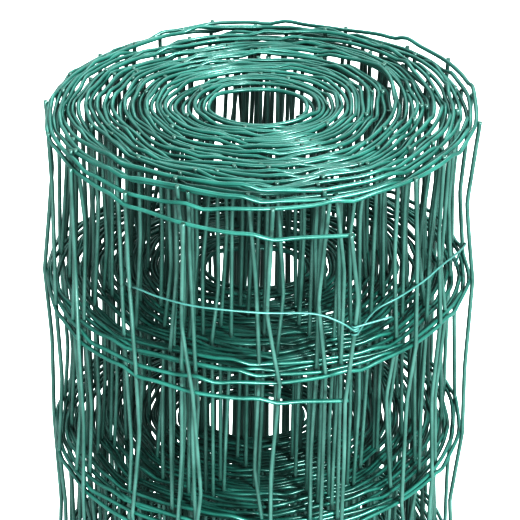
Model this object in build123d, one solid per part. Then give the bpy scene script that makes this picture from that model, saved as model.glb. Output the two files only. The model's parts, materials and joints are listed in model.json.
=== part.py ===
from build123d import *
import math
import os

# Roll of coated, welded wire fencing, wound tight and standing on its end.
# The origin is the centre of the lower end, on the roll's axis. +Z is up, the front looks along -Y.
# The free end of the fencing lies at the front, and a thin wire tied round the roll holds it.
# All lengths are in millimetres and all angles in degrees, counter-clockwise seen from above.

# The fencing: line wires run along it, and uprights are welded across their outer side.
wire_diameter = 2.2
wire_sides = 8
row_pitch = 100.0
row_cells = 10
cell_width = 75.0
stub_length = 2.0
weld_sink = 0.2

# The roll that the fencing is wound into. Its tight inner turns are one drum, its outermost turn lies free.
bore_radius = 20.0
turn_pitch = 2.73
turn_count = 34
turn_relief = 2.0
bends_per_turn = 12
rim_width = 0.3
turn_clearance = 0.2
free_end_angle = -86.0

# The tie, a thin wire that goes over some uprights and under others and is wrapped round the last one.
tie_diameter = 1.2
tie_clearance = 0.2
tie_drop = 58.0
knot_dip = 17.0
tie_dive_bend = 2
tie_rise_bend = 6
wrap_turns = 2
wrap_bends = 8
last_wrap_angle = 270.0
tail_length = 20.0
tail_flare = 14.0
tail_lift = 3.0

# Heights: each upright stands one stub past the first and the last line wire.
roll_height = row_pitch * row_cells + 2 * stub_length
row_heights = [stub_length + row_pitch * row for row in range(row_cells + 1)]
tie_height = row_heights[-1] - tie_drop
knot_height = tie_height - knot_dip
wrap_pitch = tie_diameter + tie_clearance
wrap_reach = wire_diameter / 2 + tie_clearance + tie_diameter / 2

# Radii of the drum, from the bore outwards.
inner_turns = turn_count - 1
first_turn_radius = bore_radius / math.cos(math.pi / bends_per_turn) + wire_diameter / 2
drum_radius = first_turn_radius + turn_pitch * inner_turns + wire_diameter / 2 + rim_width

# The outermost turn is straight over each half cell, with a bend at each upright and midway between them.
half_cell = cell_width / 2
chord_radius = drum_radius + turn_clearance + wire_diameter / 2
line_radius = math.hypot(chord_radius, half_cell / 2)
bend_angle = 2 * math.degrees(math.atan2(half_cell / 2, chord_radius))
outer_bends = math.floor(360 / bend_angle)
upright_offset = wire_diameter - weld_sink
upright_radius = line_radius + upright_offset

# The last half cell leaves the roll at a tangent and ends in the last upright.
last_upright = Vector(upright_radius, half_cell).rotate(Axis.Z, free_end_angle)


def at_angle(radius, angle, height=0.0):
    """The point at this radius and angle from the roll's axis."""
    return Vector(radius, 0, height).rotate(Axis.Z, angle)


def bend_at(bend):
    """The angle of a bend of the outermost turn, counted back from where the free end leaves it."""
    return free_end_angle - bend * bend_angle


def wire_section(diameter, turn=0.0):
    """A wire's section, a regular polygon as wide across its flats as the wire, with a flat at this turn."""
    return RegularPolygon(diameter / 2, wire_sides, major_radius=False, rotation=turn + 180 / wire_sides)


def turned_drum():
    """The tight inner turns as one turned drum with its bore."""
    height = roll_height - 2 * turn_relief
    wall = Pos((bore_radius + drum_radius) / 2, 0, roll_height / 2) * Rot(90, 0, 0)
    return revolve(wall * Rectangle(drum_radius - bore_radius, height), Axis.Z)


def turn_edge(edge_offset):
    """One edge of the wound inner turns: a spiral of straight chords, at this offset from its middle."""
    points = []
    for bend in range(inner_turns * bends_per_turn + 1):
        turned = bend / bends_per_turn
        angle = free_end_angle - (inner_turns - turned) * 360
        points.append(at_angle(first_turn_radius + turn_pitch * turned + edge_offset, angle))
    return points


def end_turns():
    """The turns that show on an end of the roll, standing proud of the drum by their relief."""
    inner = turn_edge(-wire_diameter / 2)
    outer = turn_edge(wire_diameter / 2)
    strip = make_face(Polyline(*inner, *reversed(outer), close=True))
    return extrude(strip, turn_relief)


def bent_wire(points, diameter):
    """A wire that runs straight from each of these points to the next."""
    start = Plane(points[0], x_dir=(0, 0, 1), z_dir=points[1] - points[0])
    return sweep(start * wire_section(diameter), Polyline(*points), transition=Transition.RIGHT)


def line_wire(height):
    """One line wire of the outermost turn, from inside the drum round to just past the last upright."""
    points = [at_angle(drum_radius - wire_diameter, bend_at(outer_bends), height)]
    for bend in reversed(range(outer_bends)):
        points.append(at_angle(line_radius, bend_at(bend), height))
    free_tip = Vector(line_radius, half_cell + stub_length, height)
    points.append(free_tip.rotate(Axis.Z, free_end_angle))
    return bent_wire(points, wire_diameter)


def upright(place, facing):
    """One upright over the whole height, with a flat of its section towards the line wires."""
    return extrude(Pos(place.X, place.Y, 0) * wire_section(wire_diameter, facing), roll_height)


def mesh_roll():
    """The fencing, welded into one: drum, end turns and the outermost turn with its free end."""
    turns = end_turns()
    wires = [line_wire(height) for height in row_heights]
    wires.append(upright(last_upright, free_end_angle))
    for bend in range(1, outer_bends, 2):
        wires.append(upright(at_angle(upright_radius, bend_at(bend)), bend_at(bend)))
    return turned_drum() + turns + Pos(0, 0, roll_height - turn_relief) * turns + wires


def wrap_points(first_angle, last_angle, first_height):
    """The tie's turns round the last upright, clockwise from above and one tie lower with each turn."""
    reach = wrap_reach / math.cos(math.pi / wrap_bends)
    steps = math.ceil((first_angle - last_angle) * wrap_bends / 360)
    points = []
    for step in range(steps + 1):
        turned = (first_angle - last_angle) * step / steps
        height = first_height - wrap_pitch * turned / 360
        points.append(last_upright + at_angle(reach, first_angle - turned, height))
    return points


def tie_wire():
    """The tie: wrapped round the last upright, led over and under the others, and wrapped again."""
    over = upright_radius + wrap_reach
    under = (drum_radius + tie_clearance + tie_diameter / 2) / math.cos(math.radians(bend_angle / 2))
    knot_angle = math.degrees(math.atan2(last_upright.Y, last_upright.X))
    knot_spread = math.degrees(math.acos((over - wrap_reach) / last_upright.length))
    left, right = knot_angle - knot_spread, knot_angle + knot_spread
    round_bends = math.floor((left - right + 360) / bend_angle)

    tail_angle = right - tail_flare + 360 * wrap_turns
    wraps = wrap_points(tail_angle, left, knot_height + wrap_pitch * (tail_angle - left) / 360)
    tail_run = Vector(0, math.cos(math.radians(tail_lift)), math.sin(math.radians(tail_lift)))
    points = [wraps[0] + tail_run.rotate(Axis.Z, tail_angle) * tail_length] + wraps
    for bend in range(round_bends + 1):
        if bend in (tie_dive_bend, tie_rise_bend):
            reach = (over + under) / 2
        elif tie_dive_bend < bend < tie_rise_bend:
            reach = under
        else:
            reach = over
        points.append(at_angle(reach, bend_at(bend), tie_height))
    points.append(at_angle(over, right, (tie_height + knot_height) / 2))
    points += wrap_points(right, right - last_wrap_angle, knot_height - wrap_pitch)
    return bent_wire(points, tie_diameter)


export_folder = "parts"
os.makedirs(export_folder, exist_ok=True)
export_step(mesh_roll(), export_folder + "/mesh_roll.step")
export_step(tie_wire(), export_folder + "/tie_wire.step")
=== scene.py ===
import json
import math

import bpy
import numpy as np
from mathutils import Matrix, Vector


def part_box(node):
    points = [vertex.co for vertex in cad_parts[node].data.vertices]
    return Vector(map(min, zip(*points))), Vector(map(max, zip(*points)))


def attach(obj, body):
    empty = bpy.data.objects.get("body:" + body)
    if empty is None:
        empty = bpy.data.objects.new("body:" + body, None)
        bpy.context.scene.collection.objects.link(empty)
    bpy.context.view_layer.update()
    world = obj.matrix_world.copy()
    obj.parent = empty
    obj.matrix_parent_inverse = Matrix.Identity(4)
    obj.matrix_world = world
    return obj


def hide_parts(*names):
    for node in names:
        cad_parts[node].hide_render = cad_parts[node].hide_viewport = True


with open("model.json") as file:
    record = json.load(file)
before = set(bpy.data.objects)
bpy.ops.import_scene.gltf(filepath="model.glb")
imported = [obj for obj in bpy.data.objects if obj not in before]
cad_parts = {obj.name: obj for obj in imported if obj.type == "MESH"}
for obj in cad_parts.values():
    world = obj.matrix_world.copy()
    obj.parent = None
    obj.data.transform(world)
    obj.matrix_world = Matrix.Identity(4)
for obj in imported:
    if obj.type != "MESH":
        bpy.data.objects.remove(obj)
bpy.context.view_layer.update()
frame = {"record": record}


# Line wires: eleven drawn steel wires in a green plastic coat, which run the whole length of the fencing.
# Each has a small kink midway between two uprights, and the mesh is wound up from the inside, so the turns
# lie unevenly and the outer ones bend at every weld and kink. The last two cells spring away from the roll.
wire = 0.0022
cell = 0.075
half_cell = cell / 2
row_pitch = 0.1
stub = 0.002
low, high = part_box("mesh_roll")
rows = round((high.z - low.z - 2 * stub) / row_pitch) + 1
row_height = low.z + stub + row_pitch * np.arange(rows)
bore = next(mount for mount in frame["record"]["mounts"] if mount["kind"] == "bore")
inner_radius = bore["dims"]["r_mm"] / 1000 + wire / 2
outer_radius = (high.x - low.x) / 2 - 1.5 * wire
turns = 34
turn_pitch = (outer_radius - inner_radius) / turns
full_angle = 2 * math.pi * turns
end_angle = math.radians(-69.0)
upward = np.array([0.0, 0.0, 1.0])
steps_per_half_cell = 9
wire_sides = 8
chance = np.random.default_rng(11)


def wander(curves, knots, samples):
    """Smooth random curves: normal random heights at even knots, joined by smooth steps."""
    heights = chance.standard_normal((curves, knots))
    place = np.linspace(0, knots - 1, samples)
    start = np.minimum(place.astype(int), knots - 2)
    part = place - start
    part = part * part * (3 - 2 * part)
    return heights[:, start] * (1 - part) + heights[:, start + 1] * part


def at_bends(spread, bends, wires):
    """One random value for each bend of these wires, joined by straight lines along the wire."""
    values = spread * chance.standard_normal((wires, bends + 1))
    place = np.linspace(0, bends, bends * steps_per_half_cell + 1)
    start = np.minimum(place.astype(int), bends - 1)
    part = place - start
    return values[:, start] * (1 - part) + values[:, start + 1] * part


def run_at(angle):
    """Length of the fencing from its inner end to this angle of the spiral: the first radius times the angle,
    plus the pitch times the angle squared over 4 pi."""
    return inner_radius * angle + turn_pitch * angle * angle / (4 * math.pi)


# How the turns lie on each other. Gaps are shares of an even gap, and turns are counted from the inner end,
# apart from the two opened gaps, whose turn is counted back from the free end.
gap_samples = 360
gap_knots = 9
gap_shared = 0.18
gap_own = 0.10
hurdle_rise = 0.45
hurdle_width = 0.013
loose_round = 0.10
loose_behind = 0.60
loose_turns = 2.2
opened_gaps = ((3.8, 0.12, 0.4), (3.3, 0.10, 0.2))
bore_oval = 0.005
bulge_even = 0.0026
bulge_back = 0.0022
bulge_right = 0.0018


def wound_radii(angles):
    """Radius of each row's wire at each angle, counted back from the last upright.
    A gap between two turns is the exponential of a random curve, plus a bell curve where the turn rides over
    an upright of the turn below. The innermost turns lie looser, above all behind the bore. The gaps at one
    angle are scaled so that together they reach from the oval bore to the bulging outline."""
    along = np.linspace(0, turns, turns * gap_samples, endpoint=False)
    ends = np.clip(2 * np.minimum(along, turns - 1 - along), 0, 1)
    shared = wander(1, gap_knots * turns, along.size)
    own = wander(rows, gap_knots * turns, along.size)
    to_end = (run_at(full_angle) - run_at(2 * math.pi * along)) / cell
    from_upright = (to_end - np.round(to_end)) * cell
    hurdle = hurdle_rise * np.exp(-(from_upright / hurdle_width) ** 2)
    behind = np.clip(np.sin(end_angle + 2 * math.pi * (along - turns)), 0, 1)
    loose = (loose_round + loose_behind * behind) * np.exp(-(along / loose_turns) ** 2)
    loose = loose * np.clip(4 * along, 0, 1)
    for turn, spread, amount in opened_gaps:
        loose = loose + amount * np.exp(-((along - turns + turn) / spread) ** 2)
    gaps = np.exp((gap_shared * shared + gap_own * own) * ends + loose) + hurdle * ends
    gaps = gaps.reshape(rows, turns, gap_samples)

    around = np.arange(gap_samples) / gap_samples
    facing = end_angle + 2 * math.pi * around
    oval = bore_oval * np.cos(facing) ** 2
    bulge = bulge_even + bulge_back * np.sin(facing) + bulge_right * np.cos(facing)
    first = outer_radius + turn_pitch * (around - turns) + oval
    heap = np.cumsum(gaps, axis=1)
    heap = heap * ((turn_pitch * (turns - 1) + bulge - oval) / heap[:, -2])[:, None, :]
    radii = np.concatenate([np.broadcast_to(first, (rows, 1, gap_samples)), first + heap[:, :-1]], axis=1)
    radii = radii.reshape(rows, -1)
    place = np.clip((angles / (2 * math.pi) + turns) * gap_samples, 0, turns * gap_samples - 1.001)
    start = place.astype(int)
    part = place - start
    return radii[:, start] * (1 - part) + radii[:, start + 1] * part


# How a wire departs from its even spiral: bends at the welds and kinks, the sprung free end, rows that slip
# along each other or sag, and the stretch of the innermost cells, whose wires cut the corners of the spiral.
corner_cut = 0.0115
tight_radius = 0.040
tight_band = 0.070
bend_depth = 0.0009
chord_tight = 0.2
chord_loose = 0.55
spring_half_cells = 4.4
spring_power = 1.6
flare_mean = 0.005
flare_spread = 0.0008
flare_top = 0.0115
lean_long = 0.0032
lean_bend = 0.0010
lean_rows = np.full((rows, 1), 0.45)
lean_rows[-2:, 0] = (0.7, 1.0)
lean_sprung = 0.85
sway_long = 0.0011
sway_bend = 0.0013
tilt_back = 0.0012
tilt_front = 0.006
tilt_angle = 20
sag_depth = 0.010
sag_angle = 5.2
kink_height = 0.0012
kink_width = 0.0055
row_jitter = 0.0005


def fencing():
    """Angle, radius and height of every row's wire at even steps from the inner end to the last upright.
    The angle is the run along an even spiral solved for its angle. Between bends the wire is part of a chord,
    whose radius falls by the cosine of half the bend over the cosine of the angle from its middle. The
    heights add sway and sag, which grow from the foot upwards, and a kink shaped as a bell curve's slope."""
    length = run_at(full_angle)
    bends = int(length / half_cell / (1 + corner_cut))
    place = np.arange(bends * steps_per_half_cell + 1) / steps_per_half_cell - bends
    run = length + place * half_cell * (1 + corner_cut * (place / bends) ** 2)
    rise = turn_pitch / (2 * math.pi)
    angle = (np.sqrt(inner_radius ** 2 + 2 * rise * run) - inner_radius) / rise - full_angle

    radius = wound_radii(angle)
    grow = np.clip((radius - tight_radius) / tight_band, 0, 1)
    radius = radius + at_bends(bend_depth, bends, rows) * (0.3 + 0.7 * grow)
    half_bend = half_cell / 2 / radius
    from_middle = (place - np.floor(place) - 0.5) * 2 * half_bend
    chord = np.cos(half_bend) / np.cos(from_middle)
    straight = chord_tight + chord_loose * grow
    radius = radius * (1 - straight * (1 - chord) + 0.5 * straight * (1 - np.cos(half_bend)))
    spring = np.clip(1 + place / spring_half_cells, 0, 1) ** spring_power
    flare = flare_mean + flare_spread * chance.standard_normal(rows)
    flare[-1] = flare_top
    radius = radius + flare[:, None] * spring

    lean = lean_long * wander(rows, turns, angle.size) + at_bends(lean_bend, bends, rows)
    lean = lean * lean_rows * (1 - lean_sprung * spring)
    turned = end_angle + angle + lean * (0.25 + 0.75 * grow) / radius

    sway = sway_long * wander(1, 3 * turns, angle.size) + at_bends(sway_bend, bends, 1)
    sway = sway * (0.45 + 0.55 * grow.mean(axis=0)) * (1 - spring)
    outer = np.clip(1 + angle / tilt_angle, 0, 1)
    facing = np.sin(end_angle + angle)
    tilt = tilt_back * outer * np.maximum(facing, 0) + tilt_front * outer * np.minimum(facing, 0)
    sag = tilt - sag_depth * np.clip(1 + angle / sag_angle, 0, 1) ** 3
    kink_place = (np.mod(place / 2, 1) - 0.5) * cell / kink_width
    kink = -kink_height * kink_place * np.exp((1 - kink_place ** 2) / 2)
    share = (np.arange(rows) / (rows - 1))[:, None]
    height = row_height[:, None] + share * (sway + sag) + kink + at_bends(row_jitter, bends, rows)
    return turned, radius, np.maximum(height, low.z + 0.55 * wire)


def rounded(curve, times):
    """The same curve with its corners eased: each value averaged with its two neighbours, so many times."""
    for _ in range(times):
        inner = 0.25 * curve[..., :-2] + 0.5 * curve[..., 1:-1] + 0.25 * curve[..., 2:]
        curve = np.concatenate([curve[..., :1], inner, curve[..., -1:]], axis=-1)
    return curve


def tube(points, across, thickness):
    """A round section carried along each path of points, with flat ends.
    Each ring lies square to its path. It starts from the direction across, made square to the path. The ring
    has few sides, so it is drawn a little larger, to cover as much as a round wire does."""
    cover = 1.06
    paths, count, _ = points.shape
    along = np.gradient(points, axis=1)
    along = along / np.linalg.norm(along, axis=2, keepdims=True)
    out = across - along * np.sum(across * along, axis=2, keepdims=True)
    out = out / np.linalg.norm(out, axis=2, keepdims=True)
    side = np.cross(along, out)
    turn = 2 * math.pi * np.arange(wire_sides) / wire_sides
    spoke = np.cos(turn)[:, None] * out[:, :, None, :] + np.sin(turn)[:, None] * side[:, :, None, :]
    vertices = (points[:, :, None, :] + thickness / 2 * cover * spoke).reshape(-1, 3)

    first = (np.arange(paths)[:, None, None] * count + np.arange(count - 1)[:, None]) * wire_sides
    here = np.arange(wire_sides)
    after = (here + 1) % wire_sides
    corners = (first + here, first + after, first + wire_sides + after, first + wire_sides + here)
    walls = np.stack(np.broadcast_arrays(*corners), -1).reshape(-1, 4)
    start_cap = np.arange(paths)[:, None] * count * wire_sides + here[::-1]
    end_cap = (np.arange(paths)[:, None] * count + count - 1) * wire_sides + here
    return vertices, walls, np.concatenate([start_cap, end_cap])


def piece(name, built, coated, cut):
    """A mesh from a tube's arrays. The smooth walls take the coat, and the flat ends take the cut metal."""
    vertices, walls, caps = built
    mesh = bpy.data.meshes.new(name)
    mesh.vertices.add(len(vertices))
    mesh.vertices.foreach_set("co", vertices.astype(np.float32).ravel())
    mesh.loops.add(walls.size + caps.size)
    mesh.loops.foreach_set("vertex_index", np.concatenate([walls.ravel(), caps.ravel()]).astype(np.int32))
    starts = np.concatenate([np.arange(len(walls)) * 4, walls.size + np.arange(len(caps)) * wire_sides])
    is_cap = np.arange(len(starts)) >= len(walls)
    mesh.polygons.add(len(starts))
    mesh.polygons.foreach_set("loop_start", starts.astype(np.int32))
    mesh.polygons.foreach_set("material_index", is_cap.astype(np.int32))
    mesh.polygons.foreach_set("use_smooth", ~is_cap)
    mesh.materials.append(coated)
    mesh.materials.append(cut)
    mesh.update(calc_edges=True)
    mesh.validate()
    made = bpy.data.objects.new(name, mesh)
    bpy.context.scene.collection.objects.link(made)
    return made


def node(tree, kind, values=None, **links):
    """A shader node with its settings and socket values, linked from the sockets given by name."""
    made = tree.nodes.new(kind)
    for key, value in (values or {}).items():
        if isinstance(key, str) and hasattr(made, key):
            setattr(made, key, value)
        else:
            made.inputs[key].default_value = value
    for key, source in links.items():
        tree.links.new(source, made.inputs[key.replace("_", " ")])
    return made


def two_shades(tree, amount, deep, pale):
    """A colour that goes from the deep shade to the pale one with the amount, joined to the surface."""
    shade = node(tree, "ShaderNodeMix", {"data_type": "RGBA", 6: (*deep, 1), 7: (*pale, 1)})
    tree.links.new(amount, shade.inputs[0])
    tree.links.new(shade.outputs[2], tree.nodes["Principled BSDF"].inputs["Base Color"])


def coat(name, deep, pale, roughness, shine):
    """Extruded plastic coat: two shades in soft clouds, and fine specks that make its gloss uneven."""
    material = bpy.data.materials.new(name)
    material.use_nodes = True
    tree = material.node_tree
    shader = tree.nodes["Principled BSDF"]
    place = node(tree, "ShaderNodeTexCoord").outputs["Object"]
    clouds = node(tree, "ShaderNodeTexNoise", {"Scale": 60.0, "Detail": 3.0}, Vector=place)
    specks = node(tree, "ShaderNodeTexNoise", {"Scale": 900.0, "Detail": 2.0}, Vector=place)
    amount = node(tree, "ShaderNodeMapRange", {"From Min": 0.3, "From Max": 0.7}, Value=clouds.outputs["Fac"])
    two_shades(tree, amount.outputs["Result"], deep, pale)
    gloss = node(tree, "ShaderNodeMapRange", {"To Min": roughness - 0.06, "To Max": roughness + 0.1},
                 Value=specks.outputs["Fac"])
    tree.links.new(gloss.outputs["Result"], shader.inputs["Roughness"])
    bump = node(tree, "ShaderNodeBump", {"Strength": 0.12, "Distance": 0.0003}, Height=specks.outputs["Fac"])
    tree.links.new(bump.outputs["Normal"], shader.inputs["Normal"])
    shader.inputs["IOR"].default_value = 1.5
    shader.inputs["Specular IOR Level"].default_value = shine
    return material


def cut_steel(name, deep, pale):
    """The sheared end of a coated wire, dull metal with a fine grain."""
    material = bpy.data.materials.new(name)
    material.use_nodes = True
    tree = material.node_tree
    shader = tree.nodes["Principled BSDF"]
    place = node(tree, "ShaderNodeTexCoord").outputs["Object"]
    grain = node(tree, "ShaderNodeTexNoise", {"Scale": 2500.0, "Detail": 2.0}, Vector=place)
    two_shades(tree, grain.outputs["Fac"], deep, pale)
    shader.inputs["Roughness"].default_value = 0.45
    shader.inputs["Metallic"].default_value = 0.4
    return material


turned, radius, height = fencing()
radius = rounded(radius, 3)
slip_left = 0.0080
below_top = np.arange(rows)[::-1, None]
slip = -slip_left * (1 - np.exp(-below_top / 1.3)) * np.clip(0.5 - 0.7 * np.cos(turned), 0, 1)
line_points = np.stack([radius * np.cos(turned) + slip, radius * np.sin(turned), height], axis=-1)
tip_run = line_points[:, -1:] - line_points[:, -2:-1]
tip = line_points[:, -1:] + tip_run / np.linalg.norm(tip_run, axis=2, keepdims=True) * stub
with_tip = np.concatenate([line_points, tip], axis=1)
fence_coat = coat("fence_coat", (0.020, 0.122, 0.102), (0.046, 0.188, 0.161), 0.29, 0.9)
cut_end = cut_steel("cut_wire_end", (0.05, 0.13, 0.11), (0.12, 0.22, 0.19))
for name, span in (("line_wires_bottom", slice(0, 3)), ("line_wires_lower", slice(3, 6)),
                   ("line_wires_upper", slice(6, 9)), ("line_wires_top", slice(9, rows))):
    strands = piece(name, tube(with_tip[span], upward, wire), fence_coat, cut_end)
    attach(strands, "root")
    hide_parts("mesh_roll")


# Uprights: straight lengths of the same wire in the same green coat, resistance welded across the outer
# side of the line wires one cell apart and trimmed just past the first and the last of them. Their colour is
# the line wires' coat made a shade paler and greyer, as painted sheen for the glare they catch.
# Winding and handling bow them a little between the welds, most of all in the uppermost row of cells.
weld_depth = 0.94
at_upright = np.arange(line_points.shape[1] - 1, -1, -2 * steps_per_half_cell)
tangent = np.gradient(line_points, axis=1)[:, at_upright]
outward = np.stack([tangent[..., 1], -tangent[..., 0], np.zeros(tangent.shape[:2])], axis=-1)
outward = outward / np.linalg.norm(outward, axis=2, keepdims=True)
sideways = np.cross(upward, outward)
welds = (line_points[:, at_upright] + weld_depth * wire * outward).swapaxes(0, 1)
outward = outward.swapaxes(0, 1)
sideways = sideways.swapaxes(0, 1)
posts = len(welds)
last_upright = 0
sway_spread = np.full(rows - 1, 0.0014)
sway_spread[-1] = 0.0027
bow_spread = 0.0013
bow_inwards = 1.7
bows_in_top_cell = ((3, -0.0038), (8, -0.0048), (17, -0.0040))


def upright_paths():
    """Each upright passes through its welds. Between two welds it is bent, sideways and in or out, as two
    nearly straight legs that meet in a rounded peak: the line between the welds plus a hump times the bend.
    Uprights are counted from the free end. The last one and three others are given listed bends."""
    peak = chance.uniform(0.3, 0.7, (posts, rows - 1, 1))
    peak[last_upright, -1] = 0.62
    peak[8, -1] = 0.5
    rise = np.array([0.0, 0.5, 0.88, 1.0])
    part = np.concatenate([peak * rise, peak + (1 - peak) * 0.12], axis=2)
    hump = np.array([0.0, 0.55, 0.92, 1.0, 0.92])
    reach = np.linalg.norm(welds[:, -1, :2], axis=1)
    free = (0.3 + 0.7 * np.clip((reach - 0.05) / 0.05, 0, 1))[:, None]
    sway = chance.standard_normal((posts, rows - 1)) * sway_spread * free
    sway[last_upright, -2:] = (0.0004, 0.0045)
    bow = (chance.standard_normal((posts, rows - 1)) - bow_inwards) * bow_spread * free
    bow[last_upright] = 0
    for post, depth in bows_in_top_cell:
        bow[post, -1] = depth
    push = sway[:, :, None] * sideways[:, :-1] + bow[:, :, None] * outward[:, :-1]
    straight = welds[:, :-1, None] * (1 - part[..., None]) + welds[:, 1:, None] * part[..., None]
    bent = straight + hump[:, None] * push[:, :, None]
    foot = welds[:, :1] * (1.0, 1.0, 0.0) + (0, 0, low.z)
    top = welds[:, -1:] + upward * (0.55 * wire + 0.0003 * chance.standard_normal((posts, 1, 1)))
    return np.concatenate([foot, bent.reshape(posts, -1, 3), welds[:, -1:], top], axis=1)


upright_points = upright_paths()
facing = np.broadcast_to(outward[:, :1], upright_points.shape)
# Painted sheen: the uprights' coat is the line wires' coat made paler and greyer, not a different coat.
upright_coat_painted_sheen = coat("upright_coat_painted_sheen", (0.050, 0.126, 0.110), (0.094, 0.192, 0.172), 0.29, 0.9)
uprights = piece("uprights", tube(upright_points, facing, wire), upright_coat_painted_sheen, cut_end)
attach(uprights, "root")
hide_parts("mesh_roll")


# Tie: a thin, brighter coated wire drawn round the roll to hold its free end down.
# It is wrapped round the last upright, runs outside the others to the left, dives between the turns there,
# comes out behind, slips inside again at the right and is wrapped once more. One end stands off at the knot.
tie = 0.0012
knot_drop = 0.0697
tie_drop = 0.06
tie_beside = 0.5 * (wire + tie) + 0.0001
wrap_pitch = tie * 1.05
lower_wrap_level = -0.0030
tail_length = 0.020
tail_lift = 0.06
knot_left = math.radians(-82.8)
knot_right = math.radians(-53.8)
tail_angle = math.radians(-66.0)
outer_posts = 10
tie_route = np.array([
    (-72, 0.0635, 0.0), (-78, 0.0588, -0.0020), (-90, 0.0585, -0.0020), (-105, 0.0573, 0.0017),
    (-115, 0.0576, 0.0005), (-121.5, 0.0574, -0.0010), (-125.3, 0.0600, -0.0045), (-129.5, 0.0645, -0.0100),
    (-140, 0.0735, -0.0230), (-154, 0.0830, -0.0340), (-185, 0.0860, -0.0480), (-215, 0.0820, -0.0260),
    (-232, 0.0780, -0.0040), (-244, 0.0760, 0.0017), (-270, 0.0740, 0.0017), (-290, 0.0800, 0.0010),
    (-305, 0.0950, -0.0040), (-318, 0.1015, -0.0070), (-340, 0.1015, -0.0070), (-358, 0.0985, -0.0065),
    (-366, 0.0920, -0.0060), (-370, 0.0800, -0.0035), (-374, 0.0700, -0.0005), (-378, 0.0660, 0.0015),
    (-386, 0.0632, 0.0015), (-395, 0.0620, 0.0012), (-403, 0.0640, 0.0015), (-412, 0.0663, 0.0017),
    (-420, 0.0690, 0.0024)])


def on_upright(post, drop):
    """The middle of an upright at this drop below the first row, between the points of its path."""
    path = upright_points[post]
    level = row_height[-1] - drop
    x = np.interp(level, path[:, 2], path[:, 0])
    y = np.interp(level, path[:, 2], path[:, 1])
    return np.array([x, y, level])


def skin(turn):
    """How far the outermost uprights stand out from the axis at these angles, at the tie's height."""
    place = np.array([on_upright(post, tie_drop) for post in range(outer_posts)])
    angle = np.unwrap(np.arctan2(place[:, 1], place[:, 0]))
    return np.interp(-turn, -angle, np.hypot(place[:, 0], place[:, 1]))


def wraps(first, last, level, count):
    """Turns of the tie round the last upright, from one angle down to another, each one tie lower."""
    turn = np.linspace(first, last, count)
    fall = (turn - last) / (2 * math.pi) * wrap_pitch
    spoke = np.stack([np.cos(turn), np.sin(turn), 0 * turn], axis=-1)
    return on_upright(last_upright, knot_drop) + tie_beside * spoke + upward * (level + fall)[:, None]


def through(stations, steps):
    """A smooth line through these points: the cubic of four neighbours in a row, at even steps."""
    before = np.concatenate([2 * stations[:1] - stations[1:2], stations[:-2]])[:, None]
    after = np.concatenate([stations[2:], 2 * stations[-1:] - stations[-2:-1]])[:, None]
    here = stations[:-1, None]
    there = stations[1:, None]
    part = (np.arange(steps) / steps)[None, :, None]
    bend = 2 * before - 5 * here + 4 * there - after + part * (3 * (here - there) + after - before)
    line = here + 0.5 * part * (there - before + part * bend)
    return np.concatenate([line.reshape(-1, 3), stations[-1:]])


def tie_path():
    """The tie from its standing end, round the last upright, round the roll and back to the upright.
    Each station of its route is an angle in degrees, a drop below the first row and a distance out from the
    uprights of the outermost turn, and a smooth line is led through them."""
    upper = wraps(tail_angle + 4 * math.pi, knot_left, 0.0, 40)
    lower = wraps(knot_right, knot_right - 1.75 * math.pi, lower_wrap_level, 16)
    run = np.array([-math.sin(tail_angle), math.cos(tail_angle), tail_lift])
    standing = upper[0] + run * np.linspace(tail_length, 0.001, 8)[:, None]
    turn = np.radians(tie_route[:, 0])
    reach = skin(turn) + tie_route[:, 2]
    loop = np.stack([reach * np.cos(turn), reach * np.sin(turn), row_height[-1] - tie_route[:, 1]], axis=-1)
    loop = np.concatenate([upper[-1:], loop, lower[:1]])
    return np.concatenate([standing, upper[:-1], through(loop, 6)[:-1], lower])


tie_coat = coat("tie_coat", (0.078, 0.192, 0.178), (0.108, 0.244, 0.228), 0.33, 0.7)
tie_wire = piece("tie", tube(tie_path()[None], upward, tie), tie_coat, cut_end)
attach(tie_wire, "root")
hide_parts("tie_wire")


# Floor: a plain pale sheet of paper, larger than the view, on which the roll stands.
# It is part of the setting and not of the object, and throws no light or reflection back on the wires.
floor_size = 16.0


def floor_sheet(size):
    """A square of this size about the origin."""
    corner = size / 2 * np.array([[-1, -1, 0], [1, -1, 0], [1, 1, 0], [-1, 1, 0]])
    mesh = bpy.data.meshes.new("floor")
    mesh.from_pydata(corner.tolist(), [], [(0, 1, 2, 3)])
    made = bpy.data.objects.new("floor", mesh)
    bpy.context.scene.collection.objects.link(made)
    return made


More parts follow.
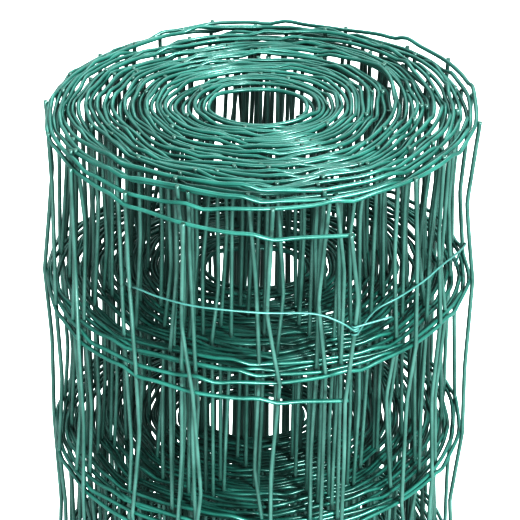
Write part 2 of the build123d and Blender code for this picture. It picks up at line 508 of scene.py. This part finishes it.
floor = floor_sheet(floor_size)
paper = bpy.data.materials.new("paper")
paper.use_nodes = True
paper_tree = paper.node_tree
paper_shader = paper_tree.nodes["Principled BSDF"]
paper_place = node(paper_tree, "ShaderNodeTexCoord").outputs["Object"]
paper_cloud = node(paper_tree, "ShaderNodeTexNoise", {"Scale": 2.0}, Vector=paper_place)
two_shades(paper_tree, paper_cloud.outputs["Fac"], (0.90, 0.90, 0.90), (0.94, 0.94, 0.94))
paper_shader.inputs["Emission Color"].default_value = (1, 1, 1, 1)
paper_shader.inputs["Emission Strength"].default_value = 0.1
paper_shader.inputs["Roughness"].default_value = 0.9
paper_shader.inputs["Specular IOR Level"].default_value = 0.1
floor.data.materials.append(paper)
floor.visible_diffuse = False
floor.visible_glossy = False


# Studio light: an even, bright surround, with one soft lamp low at the front, one from the right and a broad
# one above and behind that lights the rim. The view has strong contrast, as a catalogue picture has.
surround = bpy.data.worlds.new("surround")
bpy.context.scene.world = surround
surround.use_nodes = True
surround.node_tree.nodes["Background"].inputs["Color"].default_value = (1, 1, 1, 1)
surround.node_tree.nodes["Background"].inputs["Strength"].default_value = 1.4


def sun(name, strength, spread, lean, turn):
    """A soft distant light, tilted back from straight above and turned about the vertical, in degrees."""
    light = bpy.data.lights.new(name, "SUN")
    light.energy = strength
    light.angle = math.radians(spread)
    made = bpy.data.objects.new(name, light)
    made.rotation_euler = (math.radians(lean), 0, math.radians(turn))
    bpy.context.scene.collection.objects.link(made)


sun("front", 4.8, 20, 86, 0)
sun("side", 4.8, 14, 56, 42)
sun("back", 1.7, 50, -35, 0)
bpy.context.scene.view_settings.view_transform = "Standard"
bpy.context.scene.view_settings.gamma = 0.5


# Camera: on the front, above the rim and looking down on it, with the upper third of the roll in view.
# Its lens, drop and place come from fitting the three rows in the picture, a square of 520 pixels.
image = 520
lens_pixels = 1844
view_drop = math.radians(28.89)
rim_in_image = (259.8, 106.0)
rim_depth = 1.0


def camera(target):
    """A level camera that looks along +Y and down by the drop, placed so that the target falls on the rim's
    place in the image, at the rim's depth along the view."""
    ahead = np.array([0, math.cos(view_drop), -math.sin(view_drop)])
    upright = np.array([0, math.sin(view_drop), math.cos(view_drop)])
    across = np.array([1.0, 0, 0])
    shift = (rim_in_image[0] - image / 2) * across + (image / 2 - rim_in_image[1]) * upright
    data = bpy.data.cameras.new("camera")
    data.sensor_width = 36
    data.lens = lens_pixels / image * data.sensor_width
    data.clip_end = 60
    made = bpy.data.objects.new("camera", data)
    made.location = np.asarray(target) - rim_depth * ahead - rim_depth / lens_pixels * shift
    made.rotation_euler = (math.pi / 2 - view_drop, 0, 0)
    bpy.context.scene.collection.objects.link(made)
    bpy.context.scene.camera = made


camera((0, 0, row_height[-1]))
